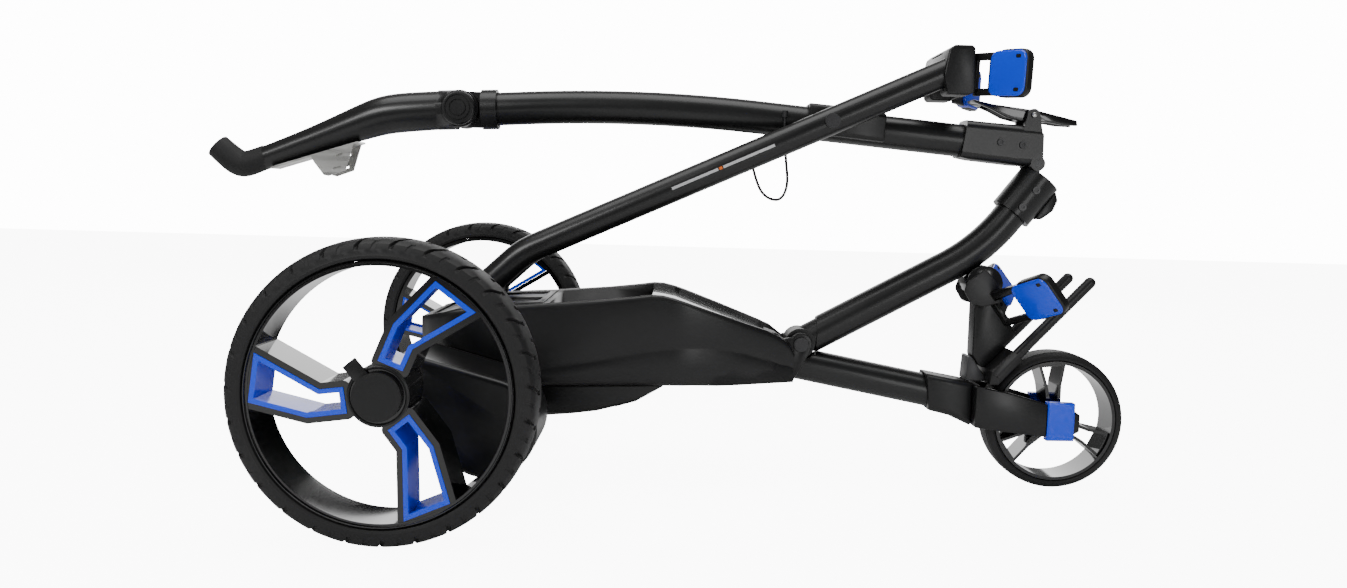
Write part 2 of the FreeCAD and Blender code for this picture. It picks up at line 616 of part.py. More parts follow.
for slot_x, slot_z in ((-121, 345), (-119, 359)):
    slot = slab([(slot_x - 4, slot_z - 2.6), (slot_x + 4, slot_z + 0.2), (slot_x + 4, slot_z + 2.6),
                 (slot_x - 4, slot_z - 0.2)], -30, 30)
    flange = flange.cut(slot)
control_plate = join([plate_strip, flange, mirrored(flange)])
parts["control_plate"] = control_plate.cut(stem_room)

knob = drum(19, handle_pivot, -33, -21.8)
knob = soften(knob, 3.0, lambda edge: abs(edge.BoundBox.YMin + 33) < 0.1 and edge.Closed and
              edge.BoundBox.YLength < 0.1)
for outer, inner in ((14.5, 12.8), (9.5, 8.2)):
    knob = knob.cut(ring(outer, inner, handle_pivot, -33.5, -31.8))
parts["clamp_knob"] = join([knob, drum(5, handle_pivot, -22, 22), drum(9, handle_pivot, 21.8, 26)])

# ---- cable between the handle tube and the strut ----
cable_points = [cable_exit, (378.6, -21.4, 396.0), (381.0, -22.0, 366.0), (384.5, -22.4, 339.0),
                (377.0, -22.6, 321.0), (361.5, -22.7, 323.0), (350.0, -22.7, 336.5), (344.5, -22.6, 357.0)]


def cable_radii():
    radii = []
    for index in range(1, len(cable_points) - 1):
        before = place(*cable_points[index - 1]) - place(*cable_points[index])
        after = place(*cable_points[index + 1]) - place(*cable_points[index])
        half_turn = (math.pi - before.getAngle(after)) / 2
        radii.append(0.45 * min(before.Length, after.Length) / math.tan(half_turn))
    return radii


radii = cable_radii()
parts["motor_cable"] = swept(cable_points, radii, cable_radius)
cable_wire = path_wire(cable_points, radii)
print("cable radii", [round(radius, 1) for radius in radii])
print("cable length", round(cable_wire.Length, 1), "volume", round(parts["motor_cable"].Volume, 1),
      "section x length", round(math.pi * cable_radius ** 2 * cable_wire.Length, 1))

# ---- place the frame's origin under the middle of the cart and write one file per piece ----
grip_end = parts["handle_grip"].optimalBoundingBox(True, False).XMin
shift = place(-(grip_end + front_wheel_x + front_radius) / 2, 0, 0)
print("frame shift along x", round(shift.x, 3))
os.makedirs("parts", exist_ok=True)
for name, shape in parts.items():
    shape.translate(shift)
    if not shape.isValid():
        print("not valid:", name)
    shape.exportStep("parts/" + name + ".step")
print(len(parts), "nodes")
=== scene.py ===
import json
import math
import bmesh
import bpy
from mathutils import Matrix, Vector


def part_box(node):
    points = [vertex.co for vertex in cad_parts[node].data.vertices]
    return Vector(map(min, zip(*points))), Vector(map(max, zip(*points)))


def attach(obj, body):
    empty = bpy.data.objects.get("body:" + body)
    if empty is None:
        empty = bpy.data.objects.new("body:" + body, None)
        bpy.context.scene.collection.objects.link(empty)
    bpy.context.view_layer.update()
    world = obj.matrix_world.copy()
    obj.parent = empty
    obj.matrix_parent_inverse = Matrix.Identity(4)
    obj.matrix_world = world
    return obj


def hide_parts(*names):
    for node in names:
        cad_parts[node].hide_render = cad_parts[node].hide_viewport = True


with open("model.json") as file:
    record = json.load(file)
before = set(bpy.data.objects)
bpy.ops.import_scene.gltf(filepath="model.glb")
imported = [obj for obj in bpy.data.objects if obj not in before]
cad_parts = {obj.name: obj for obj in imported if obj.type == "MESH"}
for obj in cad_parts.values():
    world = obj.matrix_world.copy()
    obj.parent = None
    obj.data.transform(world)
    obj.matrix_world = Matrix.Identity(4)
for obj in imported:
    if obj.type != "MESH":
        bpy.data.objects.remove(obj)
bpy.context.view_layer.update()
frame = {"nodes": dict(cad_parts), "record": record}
nodes = frame["nodes"]
bodyMembers = frame["record"]["behaviour"]["bodies"]
bodyOf = {node: body for body, members in bodyMembers.items() for node in members}
slotOf = {part["node"]: part["material_slot"] for part in frame["record"]["subparts"]}
print("frame loaded,", len(nodes), "nodes")


# camera, on the cart's right side and a little above its deck
cameraSettings = {"place": (0.0004, -1.2794, 0.3224), "yaw": -0.0048, "pitch": -0.0868, "roll": -0.0271,
                  "lens": 29.895, "sensor": 36.0}


def addCamera():
    data = bpy.data.cameras.new("productCamera")
    data.lens = cameraSettings["lens"]
    data.sensor_width = cameraSettings["sensor"]
    camera = bpy.data.objects.new("productCamera", data)
    bpy.context.scene.collection.objects.link(camera)
    turn = Matrix.Rotation(cameraSettings["yaw"], 3, "Z")
    turn = turn @ Matrix.Rotation(cameraSettings["pitch"], 3, "X")
    turn = turn @ Matrix.Rotation(cameraSettings["roll"], 3, "Y")
    level = Matrix.Rotation(math.pi / 2, 3, "X")
    camera.matrix_world = Matrix.Translation(cameraSettings["place"]) @ (turn @ level).to_4x4()
    bpy.context.scene.camera = camera


addCamera()


def newGroup(name, inputs, outputs):
    group = bpy.data.node_groups.new(name, "ShaderNodeTree")
    for label, kind, value in inputs:
        socket = group.interface.new_socket(label, in_out="INPUT", socket_type=kind)
        socket.default_value = value
    for label, kind in outputs:
        group.interface.new_socket(label, in_out="OUTPUT", socket_type=kind)
    return group, group.nodes.new("NodeGroupInput"), group.nodes.new("NodeGroupOutput")


def addNode(tree, kind, **values):
    node = tree.nodes.new(kind)
    for key, value in values.items():
        setattr(node, key, value)
    return node


def buildMoulding():
    # fine moulded texture: slow drift in gloss and a small even bump
    group, source, result = newGroup(
        "mouldedSurface",
        [("Grain Scale", "NodeSocketFloat", 900.0), ("Gloss From", "NodeSocketFloat", 0.3),
         ("Gloss To", "NodeSocketFloat", 0.45), ("Patch Scale", "NodeSocketFloat", 14.0),
         ("Stretch", "NodeSocketVector", (1.0, 1.0, 1.0))],
        [("Roughness", "NodeSocketFloat"), ("Height", "NodeSocketFloat")])
    links = group.links
    place = addNode(group, "ShaderNodeTexCoord")
    patches = addNode(group, "ShaderNodeTexNoise")
    patches.inputs["Detail"].default_value = 4.0
    grain = addNode(group, "ShaderNodeTexNoise")
    grain.inputs["Detail"].default_value = 2.0
    spread = addNode(group, "ShaderNodeMapRange")
    spread.inputs["From Min"].default_value = 0.3
    spread.inputs["From Max"].default_value = 0.7
    drawn = addNode(group, "ShaderNodeMapping")
    links.new(place.outputs["Object"], drawn.inputs["Vector"])
    links.new(source.outputs["Stretch"], drawn.inputs["Scale"])
    links.new(drawn.outputs["Vector"], patches.inputs["Vector"])
    links.new(drawn.outputs["Vector"], grain.inputs["Vector"])
    links.new(source.outputs["Patch Scale"], patches.inputs["Scale"])
    links.new(source.outputs["Grain Scale"], grain.inputs["Scale"])
    links.new(patches.outputs["Fac"], spread.inputs["Value"])
    links.new(source.outputs["Gloss From"], spread.inputs["To Min"])
    links.new(source.outputs["Gloss To"], spread.inputs["To Max"])
    links.new(spread.outputs["Result"], result.inputs["Roughness"])
    links.new(grain.outputs["Fac"], result.inputs["Height"])
    return group


def buildHandling():
    # a little dust where the surface faces up, and small scuffs
    group, source, result = newGroup(
        "handlingMarks",
        [("Colour", "NodeSocketColor", (0.02, 0.02, 0.02, 1.0)),
         ("Dust", "NodeSocketColor", (0.2, 0.19, 0.17, 1.0)),
         ("Dust Amount", "NodeSocketFloat", 0.06), ("Drift", "NodeSocketFloat", 0.15)],
        [("Colour", "NodeSocketColor")])
    links = group.links
    place = addNode(group, "ShaderNodeTexCoord")
    shape = addNode(group, "ShaderNodeNewGeometry")
    split = addNode(group, "ShaderNodeSeparateXYZ")
    clouds = addNode(group, "ShaderNodeTexNoise")
    clouds.inputs["Scale"].default_value = 22.0
    clouds.inputs["Detail"].default_value = 6.0
    facing = addNode(group, "ShaderNodeMapRange")
    facing.inputs["From Min"].default_value = 0.2
    facing.inputs["From Max"].default_value = 1.0
    patchy = addNode(group, "ShaderNodeMath", operation="MULTIPLY")
    scaled = addNode(group, "ShaderNodeMath", operation="MULTIPLY")
    dusty = addNode(group, "ShaderNodeMix", data_type="RGBA")
    drifted = addNode(group, "ShaderNodeMix", data_type="RGBA", blend_type="MULTIPLY")
    tint = addNode(group, "ShaderNodeValToRGB")
    tint.color_ramp.elements[0].color = (0.6, 0.6, 0.6, 1.0)
    tint.color_ramp.elements[1].color = (1.25, 1.25, 1.25, 1.0)
    links.new(place.outputs["Object"], clouds.inputs["Vector"])
    links.new(shape.outputs["Normal"], split.inputs["Vector"])
    links.new(split.outputs["Z"], facing.inputs["Value"])
    links.new(facing.outputs["Result"], patchy.inputs[0])
    links.new(clouds.outputs["Fac"], patchy.inputs[1])
    links.new(patchy.outputs["Value"], scaled.inputs[0])
    links.new(source.outputs["Dust Amount"], scaled.inputs[1])
    links.new(clouds.outputs["Fac"], tint.inputs["Fac"])
    links.new(source.outputs["Drift"], drifted.inputs["Factor"])
    links.new(source.outputs["Colour"], drifted.inputs["A"])
    links.new(tint.outputs["Color"], drifted.inputs["B"])
    links.new(scaled.outputs["Value"], dusty.inputs["Factor"])
    links.new(drifted.outputs["Result"], dusty.inputs["A"])
    links.new(source.outputs["Dust"], dusty.inputs["B"])
    links.new(dusty.outputs["Result"], result.inputs["Colour"])
    return group


mouldedSurface = buildMoulding()
handlingMarks = buildHandling()

finishes = {
    "satin_plastic": {"colour": (0.006, 0.006, 0.0063), "gloss": (0.30, 0.42), "grain": 1100.0, "bump": 0.06,
                      "depth": 0.0002, "dust": 0.02},
    "gloss_black": {"colour": (0.003, 0.003, 0.0035), "gloss": (0.08, 0.16), "grain": 300.0, "bump": 0.015,
                    "depth": 0.0002, "dust": 0.01, "coat": 0.6},
    "painted_tube": {"colour": (0.006, 0.006, 0.0063), "gloss": (0.30, 0.38), "grain": 1500.0, "bump": 0.07,
                     "depth": 0.0002, "dust": 0.015, "coat": 0.1},
    "blue_plastic": {"colour": (0.0, 0.055, 0.85), "gloss": (0.16, 0.26), "grain": 500.0, "bump": 0.02,
                     "depth": 0.0002, "dust": 0.01, "coat": 0.35},
    "tyre_rubber": {"colour": (0.008, 0.008, 0.0083), "gloss": (0.50, 0.66), "grain": 700.0, "bump": 0.16,
                    "depth": 0.0004, "dust": 0.02},
    "bright_steel": {"colour": (0.60, 0.60, 0.58), "gloss": (0.24, 0.44), "grain": 1400.0, "bump": 0.12,
                     "depth": 0.0002, "dust": 0.0, "metal": 1.0, "stretch": (0.03, 1.0, 1.0), "patch": 260.0},
    "dark_screw": {"colour": (0.026, 0.026, 0.028), "gloss": (0.25, 0.4), "grain": 900.0, "bump": 0.05,
                   "depth": 0.0002, "dust": 0.0, "metal": 0.0},
    "board_green": {"colour": (0.01, 0.06, 0.02), "gloss": (0.3, 0.5), "grain": 200.0, "bump": 0.1,
                    "depth": 0.0004, "dust": 0.02},
    "motor_case": {"colour": (0.05, 0.05, 0.055), "gloss": (0.3, 0.45), "grain": 600.0, "bump": 0.08,
                   "depth": 0.0003, "dust": 0.03, "metal": 0.6},
    "grey_boot": {"colour": (0.041, 0.041, 0.043), "gloss": (0.35, 0.5), "grain": 900.0, "bump": 0.08,
                  "depth": 0.0003, "dust": 0.03},
    "grip_rubber": {"colour": (0.007, 0.007, 0.0073), "gloss": (0.55, 0.72), "grain": 1600.0, "bump": 0.3,
                    "depth": 0.0004, "dust": 0.02},
    "stripe_pale": {"colour": (0.55, 0.55, 0.56), "gloss": (0.3, 0.45), "grain": 900.0, "bump": 0.04,
                    "depth": 0.0001, "dust": 0.02},
    "stripe_orange": {"colour": (0.85, 0.16, 0.01), "gloss": (0.3, 0.45), "grain": 900.0, "bump": 0.04,
                      "depth": 0.0001, "dust": 0.02},
    "cable_skin": {"colour": (0.016, 0.016, 0.017), "gloss": (0.35, 0.5), "grain": 900.0, "bump": 0.08,
                   "depth": 0.0002, "dust": 0.02},
}


def buildFinish(name, look):
    material = bpy.data.materials.new(name)
    material.use_nodes = True
    tree = material.node_tree
    shader = tree.nodes["Principled BSDF"]
    shader.inputs["Metallic"].default_value = look.get("metal", 0.0)
    shader.inputs["Coat Weight"].default_value = look.get("coat", 0.0)
    shader.inputs["Coat Roughness"].default_value = 0.08
    shader.inputs["Specular IOR Level"].default_value = look.get("specular", 0.4)
    surface = addNode(tree, "ShaderNodeGroup", node_tree=mouldedSurface)
    surface.inputs["Grain Scale"].default_value = look["grain"]
    surface.inputs["Stretch"].default_value = look.get("stretch", (1.0, 1.0, 1.0))
    surface.inputs["Patch Scale"].default_value = look.get("patch", 14.0)
    surface.inputs["Gloss From"].default_value = look["gloss"][0]
    surface.inputs["Gloss To"].default_value = look["gloss"][1]
    marks = addNode(tree, "ShaderNodeGroup", node_tree=handlingMarks)
    marks.inputs["Colour"].default_value = (*look["colour"], 1.0)
    marks.inputs["Dust Amount"].default_value = look["dust"]
    bump = addNode(tree, "ShaderNodeBump")
    bump.inputs["Strength"].default_value = look["bump"]
    bump.inputs["Distance"].default_value = look["depth"]
    tree.links.new(surface.outputs["Roughness"], shader.inputs["Roughness"])
    tree.links.new(surface.outputs["Height"], bump.inputs["Height"])
    tree.links.new(bump.outputs["Normal"], shader.inputs["Normal"])
    tree.links.new(marks.outputs["Colour"], shader.inputs["Base Color"])
    return material


materials = {name: buildFinish(name, look) for name, look in finishes.items()}
print("materials built,", len(materials))


def finishPiece(name, bm, material, body, smoothAngle=32.0, recalculate=True):
    if recalculate:
        bmesh.ops.remove_doubles(bm, verts=bm.verts, dist=0.00001)
        bmesh.ops.recalc_face_normals(bm, faces=bm.faces)
    for face in bm.faces:
        face.smooth = True
    mesh = bpy.data.meshes.new(name)
    bm.to_mesh(mesh)
    bm.free()
    mesh.materials.append(material)
    mesh.set_sharp_from_angle(angle=math.radians(smoothAngle))
    piece = bpy.data.objects.new(name, mesh)
    bpy.context.scene.collection.objects.link(piece)
    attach(piece, body)
    return piece


def softenEdges(piece, width, segments=2, angle=35.0):
    edge = piece.modifiers.new("softEdges", "BEVEL")
    edge.width = width
    edge.segments = segments
    edge.limit_method = "ANGLE"
    edge.angle_limit = math.radians(angle)
    edge.harden_normals = True
    edge.use_clamp_overlap = True


def roundEdges(bm, edges, width, segments, clamp=True, slide=False):
    bmesh.ops.bevel(bm, geom=edges, offset=width, offset_type="OFFSET", affect="EDGES", segments=segments,
                    profile=0.5, material=-1, clamp_overlap=clamp, loop_slide=slide)


def sweptTube(name, spots, radius, lineSteps, ringSteps):
    # spots of (x, y, z, swell) along the middle line
    data = bpy.data.curves.new(name, "CURVE")
    data.dimensions = "3D"
    line = data.splines.new("NURBS")
    line.points.add(len(spots) - 1)
    for point, (x, y, z, swell) in zip(line.points, spots):
        point.co = (x, y, z, 1.0)
        point.radius = swell
    line.order_u = 4
    line.use_endpoint_u = True
    line.resolution_u = lineSteps
    data.bevel_depth = radius
    data.bevel_resolution = ringSteps
    data.use_fill_caps = True
    holder = bpy.data.objects.new(name, data)
    bpy.context.scene.collection.objects.link(holder)
    mesh = bpy.data.meshes.new_from_object(holder)
    bpy.data.objects.remove(holder)
    return mesh


def roundedCopy(node, width, segments=2):
    # the CAD piece with its flat faces merged and its edges rounded
    bm = bmesh.new()
    bm.from_mesh(nodes[node].data)
    bmesh.ops.remove_doubles(bm, verts=bm.verts, dist=0.00001)
    bmesh.ops.dissolve_limit(bm, angle_limit=math.radians(0.6), verts=bm.verts, edges=bm.edges)
    steep = math.radians(32)
    corners = [edge for edge in bm.edges if edge.is_manifold and edge.calc_face_angle(0.0) > steep]
    roundEdges(bm, corners, width, segments, clamp=False, slide=True)
    piece = finishPiece(node + "_finished", bm, materials[slotOf[node]], bodyOf[node], 40.0,
                        recalculate=False)
    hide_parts(node)


def spinProfile(profile, centre, steps):
    # profile of (y, radius) turned about the cart's cross axis
    bm = bmesh.new()
    verts = [bm.verts.new((centre.x, centre.y + y, centre.z + radius)) for y, radius in profile]
    edges = [bm.edges.new((verts[i], verts[(i + 1) % len(verts)])) for i in range(len(verts))]
    bmesh.ops.spin(bm, geom=verts + edges, cent=(centre.x, 0.0, centre.z), axis=(0.0, 1.0, 0.0),
                   angle=2 * math.pi, steps=steps, use_merge=True)
    bmesh.ops.recalc_face_normals(bm, faces=bm.faces)
    return bm


def wheelMiddle(node):
    low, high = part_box(node)
    return (low + high) / 2, (high.z - low.z) / 2, (high.y - low.y) / 2


def tyreProfile(look, crownRadius, half):
    # from the bead up one wall to the crown, then the same mirrored
    wall = [(half * share, look["bead"] + rise) for share, rise in look["wall"]]
    crown = [(half * share, crownRadius - drop) for share, drop in look["crown"]]
    oneSide = wall + crown
    return oneSide + [(0.0, crownRadius)] + [(-y, radius) for y, radius in reversed(oneSide)]


# lengths in metres; shares are of half the tyre's width; lug places are in steps round the tyre
rearTyreLook = {
    "steps": 216, "lugs": 27, "depth": 0.0018, "bead": 0.1202, "bow": 0.085,
    "wall": ((0.86, 0.0), (0.97, 0.0014), (1.0, 0.0042), (0.985, 0.0056)),
    "crown": ((0.98, 0.0092), (0.93, 0.0052), (0.80, 0.0022), (0.62, 0.0010), (0.42, 0.0004), (0.22, 0.0001)),
    "lugReach": 0.0085, "lugShare": 0.97, "groove": 1.0, "notchShare": 0.86, "notchAt": 4.5, "notchHalf": 0.4,
    "softEdge": 0.0005,
}


def isLug(face, centre, half, base):
    look = rearTyreLook
    spot = face.calc_center_median()
    across = (spot.y - centre.y) / half
    radius = math.hypot(spot.x - centre.x, spot.z - centre.z)
    if radius < base - look["lugReach"] or abs(across) > look["lugShare"]:
        return False
    period = look["steps"] / look["lugs"]
    turn = math.atan2(spot.z - centre.z, spot.x - centre.x) / (2 * math.pi) * look["steps"]
    phase = (turn + (period / 2 if across > 0 else 0.0)) % period
    notch = abs(across) > look["notchShare"] and abs(phase - look["notchAt"]) < look["notchHalf"]
    return phase > look["groove"] and not notch


def rearTyre(side):
    node = "rear_tyre_" + side
    centre, outer, half = wheelMiddle(node)
    base = outer - rearTyreLook["depth"]
    bm = spinProfile(tyreProfile(rearTyreLook, base, half), centre, rearTyreLook["steps"])
    lugs = [face for face in bm.faces if isLug(face, centre, half, base)]
    raised = bmesh.ops.extrude_face_region(bm, geom=lugs)["geom"]
    for vert in [item for item in raised if isinstance(item, bmesh.types.BMVert)]:
        away = Vector((vert.co.x - centre.x, 0.0, vert.co.z - centre.z)).normalized()
        vert.co += away * rearTyreLook["depth"]
    for vert in bm.verts:
        # grooves lean back towards each shoulder
        across = (vert.co.y - centre.y) / half
        lean = Matrix.Rotation(rearTyreLook["bow"] * across * abs(across), 3, "Y")
        vert.co = centre + lean @ (vert.co - centre)
    piece = finishPiece("rearTyre_" + side, bm, materials["tyre_rubber"], bodyOf[node], 30.0)
    softenEdges(piece, rearTyreLook["softEdge"])
    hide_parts(node)


rearTyre("right")
rearTyre("left")


# smooth crown with one fine line on each side
frontTyreLook = {
    "steps": 160, "bead": 0.0688,
    "wall": ((0.84, 0.0), (0.96, 0.001), (1.0, 0.003)),
    "crown": ((0.97, 0.0052), (0.90, 0.0030), (0.80, 0.0016), (0.70, 0.0009), (0.68, 0.0018), (0.64, 0.0018),
              (0.62, 0.0006), (0.3, 0.0001)),
}


def frontTyre():
    centre, outer, half = wheelMiddle("front_tyre")
    bm = spinProfile(tyreProfile(frontTyreLook, outer, half), centre, frontTyreLook["steps"])
    piece = finishPiece("frontTyre", bm, materials["tyre_rubber"], "front_wheel", 38.0)
    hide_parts("front_tyre")


frontTyre()
print("tyres done")


# thin rings on the rear rims' faces, metres
rimTrim = {"lip": 0.0022, "lipInset": 0.0002, "lipProud": 0.0016, "hubRing": (0.0245, 0.0275),
           "hubProud": 0.0012, "sunk": 0.001, "edgeShare": 0.3, "steps": 128}


def trimRing(name, centre, yFrom, yTo, inner, outer, look, body):
    edge = (outer - inner) * rimTrim["edgeShare"]
    step = (yTo - yFrom) * rimTrim["edgeShare"]
    profile = [(yFrom - centre.y, inner), (yTo - step - centre.y, inner), (yTo - centre.y, inner + edge),
               (yTo - centre.y, outer - edge), (yTo - step - centre.y, outer), (yFrom - centre.y, outer)]
    piece = finishPiece(name, spinProfile(profile, centre, rimTrim["steps"]), materials[look], body, 40.0)


def rimRings(side, sign):
    centre, outer, half = wheelMiddle("rear_rim_" + side)
    wheel = "rear_wheel_" + side
    face = centre.y + sign * half
    back = face - sign * rimTrim["sunk"]
    trimRing("rimLip_" + side, centre, back, face + sign * rimTrim["lipProud"],
             outer - rimTrim["lip"], outer - rimTrim["lipInset"], "gloss_black", wheel)
    trimRing("hubRing_" + side, centre, back, face + sign * rimTrim["hubProud"],
             rimTrim["hubRing"][0], rimTrim["hubRing"][1], "satin_plastic", wheel)


rimRings("right", -1)
rimRings("left", 1)


# the cable hangs in one loop between the handle tube and the strut
cableLook = {"diameter": 0.0032, "length": 0.146,
             "route": [(0.125241, -0.0207, 0.414), (0.125441, -0.0214, 0.396), (0.127841, -0.022, 0.366),
                       (0.131341, -0.0224, 0.339), (0.123841, -0.0226, 0.321), (0.108341, -0.0227, 0.323),
                       (0.096841, -0.0227, 0.3365), (0.091341, -0.0226, 0.357)]}


def cable():
    data = bpy.data.curves.new("tubeCable", "CURVE")
    data.dimensions = "3D"
    line = data.splines.new("NURBS")
    line.points.add(len(cableLook["route"]) - 1)
    for point, place in zip(line.points, cableLook["route"]):
        point.co = (*place, 1.0)
    line.order_u = 3
    line.use_endpoint_u = True
    line.resolution_u = 12
    data.bevel_depth = cableLook["diameter"] / 2
    data.bevel_resolution = 4
    data.use_fill_caps = True
    data.materials.append(materials["cable_skin"])
    piece = bpy.data.objects.new("tubeCable", data)
    bpy.context.scene.collection.objects.link(piece)
    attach(piece, "handle_tube")
    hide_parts("motor_cable")


cable()


# one soft bent sleeve; root, knee and tip are (x, z) steps in from the corners of the CAD grip's box
gripLook = {"radius": 0.0146, "root": (0.0052, 0.0206), "knee": (0.0370, 0.0125), "tip": (0.0105, 0.0098),
            "swell": (0.93, 0.97, 1.04, 1.02, 0.96), "endRound": 0.005, "lineSteps": 16, "ringSteps": 10}


def grip():
    low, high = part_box("handle_grip")
    root = Vector((high.x - gripLook["root"][0], 0.0, high.z - gripLook["root"][1]))
    knee = Vector((low.x + gripLook["knee"][0], 0.0, low.z + gripLook["knee"][1]))
    tip = Vector((low.x + gripLook["tip"][0], 0.0, high.z - gripLook["tip"][1]))
    places = [root, root.lerp(knee, 0.6), knee, knee.lerp(tip, 0.4), tip]
    spots = [(*place, swell) for place, swell in zip(places, gripLook["swell"])]
    sweep = sweptTube("gripLine", spots, gripLook["radius"], gripLook["lineSteps"], gripLook["ringSteps"])
    bm = bmesh.new()
    bm.from_mesh(sweep)
    bmesh.ops.remove_doubles(bm, verts=bm.verts, dist=0.00001)
    steep = math.radians(50)
    ends = [edge for edge in bm.edges if edge.is_manifold and edge.calc_face_angle(0.0) > steep]
    roundEdges(bm, ends, gripLook["endRound"], 5)
    piece = finishPiece("gripSleeve", bm, materials["grip_rubber"], "handle", 60.0)
    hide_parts("handle_grip")


grip()
print("cable and grip done")


# one skin bridged from section to section, with a crease along each side
# each section: distance from the tray's rear end, half width, top, bottom and crease heights
trayShellLook = {
    "wall": 0.0022, "wellWidth": 0.93, "wellHeight": 0.975,
    "sections": [(0.0, 0.0660, 0.1860, 0.1500, 0.1600), (0.014, 0.0790, 0.1896, 0.1420, 0.1560),
                 (0.028, 0.0895, 0.1930, 0.1340, 0.1500), (0.042, 0.0930, 0.1972, 0.1260, 0.1400),
                 (0.058, 0.0950, 0.2001, 0.1180, 0.1290), (0.076, 0.0950, 0.2014, 0.1122, 0.1240),
                 (0.105, 0.0950, 0.2030, 0.1128, 0.1285), (0.150, 0.0950, 0.2067, 0.1140, 0.1360),
                 (0.197, 0.0950, 0.2108, 0.1151, 0.1448), (0.232, 0.0950, 0.2150, 0.1161, 0.1520),
                 (0.250, 0.0950, 0.2176, 0.1165, 0.1550), (0.262, 0.0950, 0.2172, 0.1168, 0.1570),
                 (0.274, 0.0950, 0.2145, 0.1170, 0.1585), (0.286, 0.0946, 0.2108, 0.1171, 0.1596),
                 (0.305, 0.0900, 0.2042, 0.1173, 0.1600), (0.330, 0.0825, 0.1955, 0.1177, 0.1580),
                 (0.355, 0.0730, 0.1866, 0.1180, 0.1530), (0.378, 0.0610, 0.1786, 0.1180, 0.1450),
                 (0.392, 0.0535, 0.1716, 0.1180, 0.1380), (0.404, 0.0470, 0.1630, 0.1180, 0.1330),
                 (0.410, 0.0440, 0.1520, 0.1180, 0.1310)],
}


def traySection(bm, x, half, top, bottom, crease):
    tall = top - crease
    low = crease - bottom
    outside = [(half - 0.0090, top - 0.0012), (half - 0.0062, top - 0.0002), (half - 0.0035, top),
               (half - 0.0012, top - 0.0008), (half - 0.0002, top - 0.0030), (half, top - 0.0060),
               (half - 0.0003, top - tall * 0.35), (half - 0.0016, top - tall * 0.66),
               (half - 0.0038, crease + tall * 0.08), (half - 0.0050, crease + 0.0008),
               (half - 0.0046, crease - 0.0010),
               (half - 0.0042, crease - low * 0.35), (half - 0.0060, crease - low * 0.68),
               (half - 0.0110, bottom + low * 0.13), (half - 0.0180, bottom + 0.0006),
               (half - 0.0260, bottom)]
    inward = []
    for index, (y, z) in enumerate(outside):
        before = outside[max(index - 1, 0)]
        after = outside[min(index + 1, len(outside) - 1)]
        along = Vector((after[0] - before[0], after[1] - before[1])).normalized()
        inward.append((y + along.y * trayShellLook["wall"], z - along.x * trayShellLook["wall"]))
    loop = outside + [(-y, z) for y, z in reversed(outside)]
    loop += [(-y, z) for y, z in inward] + list(reversed(inward))
    verts = [bm.verts.new((x, y, z)) for y, z in loop]
    return [bm.edges.new((verts[i], verts[(i + 1) % len(verts)])) for i in range(len(verts))]


def trayShell():
    low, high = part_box("chassis_tray")
    bm = bmesh.new()
    rings = [traySection(bm, low.x + row[0], *row[1:]) for row in trayShellLook["sections"]]
    for first, second in zip(rings, rings[1:]):
        bmesh.ops.bridge_loops(bm, edges=first + second)
    bmesh.ops.contextual_create(bm, geom=rings[0])
    bmesh.ops.contextual_create(bm, geom=rings[-1])
    skin = finishPiece("trayShell", bm, materials["satin_plastic"], "chassis", 50.0)
    bm = bmesh.new()
    bm.from_mesh(nodes["chassis_tray"].data)
    bmesh.ops.remove_doubles(bm, verts=bm.verts, dist=0.00001)
    middle = (low.z + high.z) / 2
    # the CAD tray stays inside the skin as the well's inner wall, a little smaller
    shrink = Matrix.Diagonal((1.0, trayShellLook["wellWidth"], trayShellLook["wellHeight"], 1.0))
    shrink = Matrix.Translation((0, 0, middle)) @ shrink @ Matrix.Translation((0, 0, -middle))
    bmesh.ops.transform(bm, matrix=shrink, verts=bm.verts)
    liner = finishPiece("trayWell", bm, materials["satin_plastic"], "chassis", 40.0, recalculate=False)
    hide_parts("chassis_tray")


trayShell()


# the CAD stem's collar stays in front of "start", the stem behind it is one tapering sweep of (x, z, swell)
stemLook = {"start": -0.2640, "radius": 0.022, "lineSteps": 14, "ringSteps": 14,
            "path": [(-0.2600, 0.4126, 0.985), (-0.2950, 0.4098, 1.01), (-0.3210, 0.4072, 1.01),
                     (-0.3440, 0.3990, 0.93), (-0.3790, 0.3852, 0.78), (-0.4150, 0.3712, 0.655),
                     (-0.4615, 0.3533, 0.60)]}


def handleStem():
    spots = [(x, 0.0, z, swell) for x, z, swell in stemLook["path"]]
    sweep = sweptTube("stemLine", spots, stemLook["radius"], stemLook["lineSteps"], stemLook["ringSteps"])
    bm = bmesh.new()
    bm.from_mesh(nodes["handle_stem"].data)
    bmesh.ops.remove_doubles(bm, verts=bm.verts, dist=0.00001)
    bmesh.ops.bisect_plane(bm, geom=bm.verts[:] + bm.edges[:] + bm.faces[:], plane_no=(-1, 0, 0),
                           plane_co=(stemLook["start"], 0, 0), clear_outer=True)
    bm.from_mesh(sweep)
    piece = finishPiece("handleStem", bm, materials["painted_tube"], "handle", 35.0, recalculate=False)
    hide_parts("handle_stem")


handleStem()


# rounded blue facing, dark edging behind it and two dark slots
# root, reach and "from" place the pad on its arm, metres; lean is in degrees
padLook = {
    "lower": {"root": (0.374841, -0.0134, 0.204), "reach": (0.0375, -0.085, 0.0283), "from": 0.044,
              "height": 0.049, "lean": 37.0},
    "upper": {"root": (0.327041, -0.044, 0.4635), "reach": (0.042, -0.058, -0.003), "from": 0.026,
              "height": 0.051, "lean": 0.0},
}


def padAxes(settings):
    along = Vector(settings["reach"]).normalized()
    lean = math.radians(settings["lean"])
    up = Vector((-math.sin(lean), 0.0, math.cos(lean)))
    up = (up - along * up.dot(along)).normalized()
    return along, up


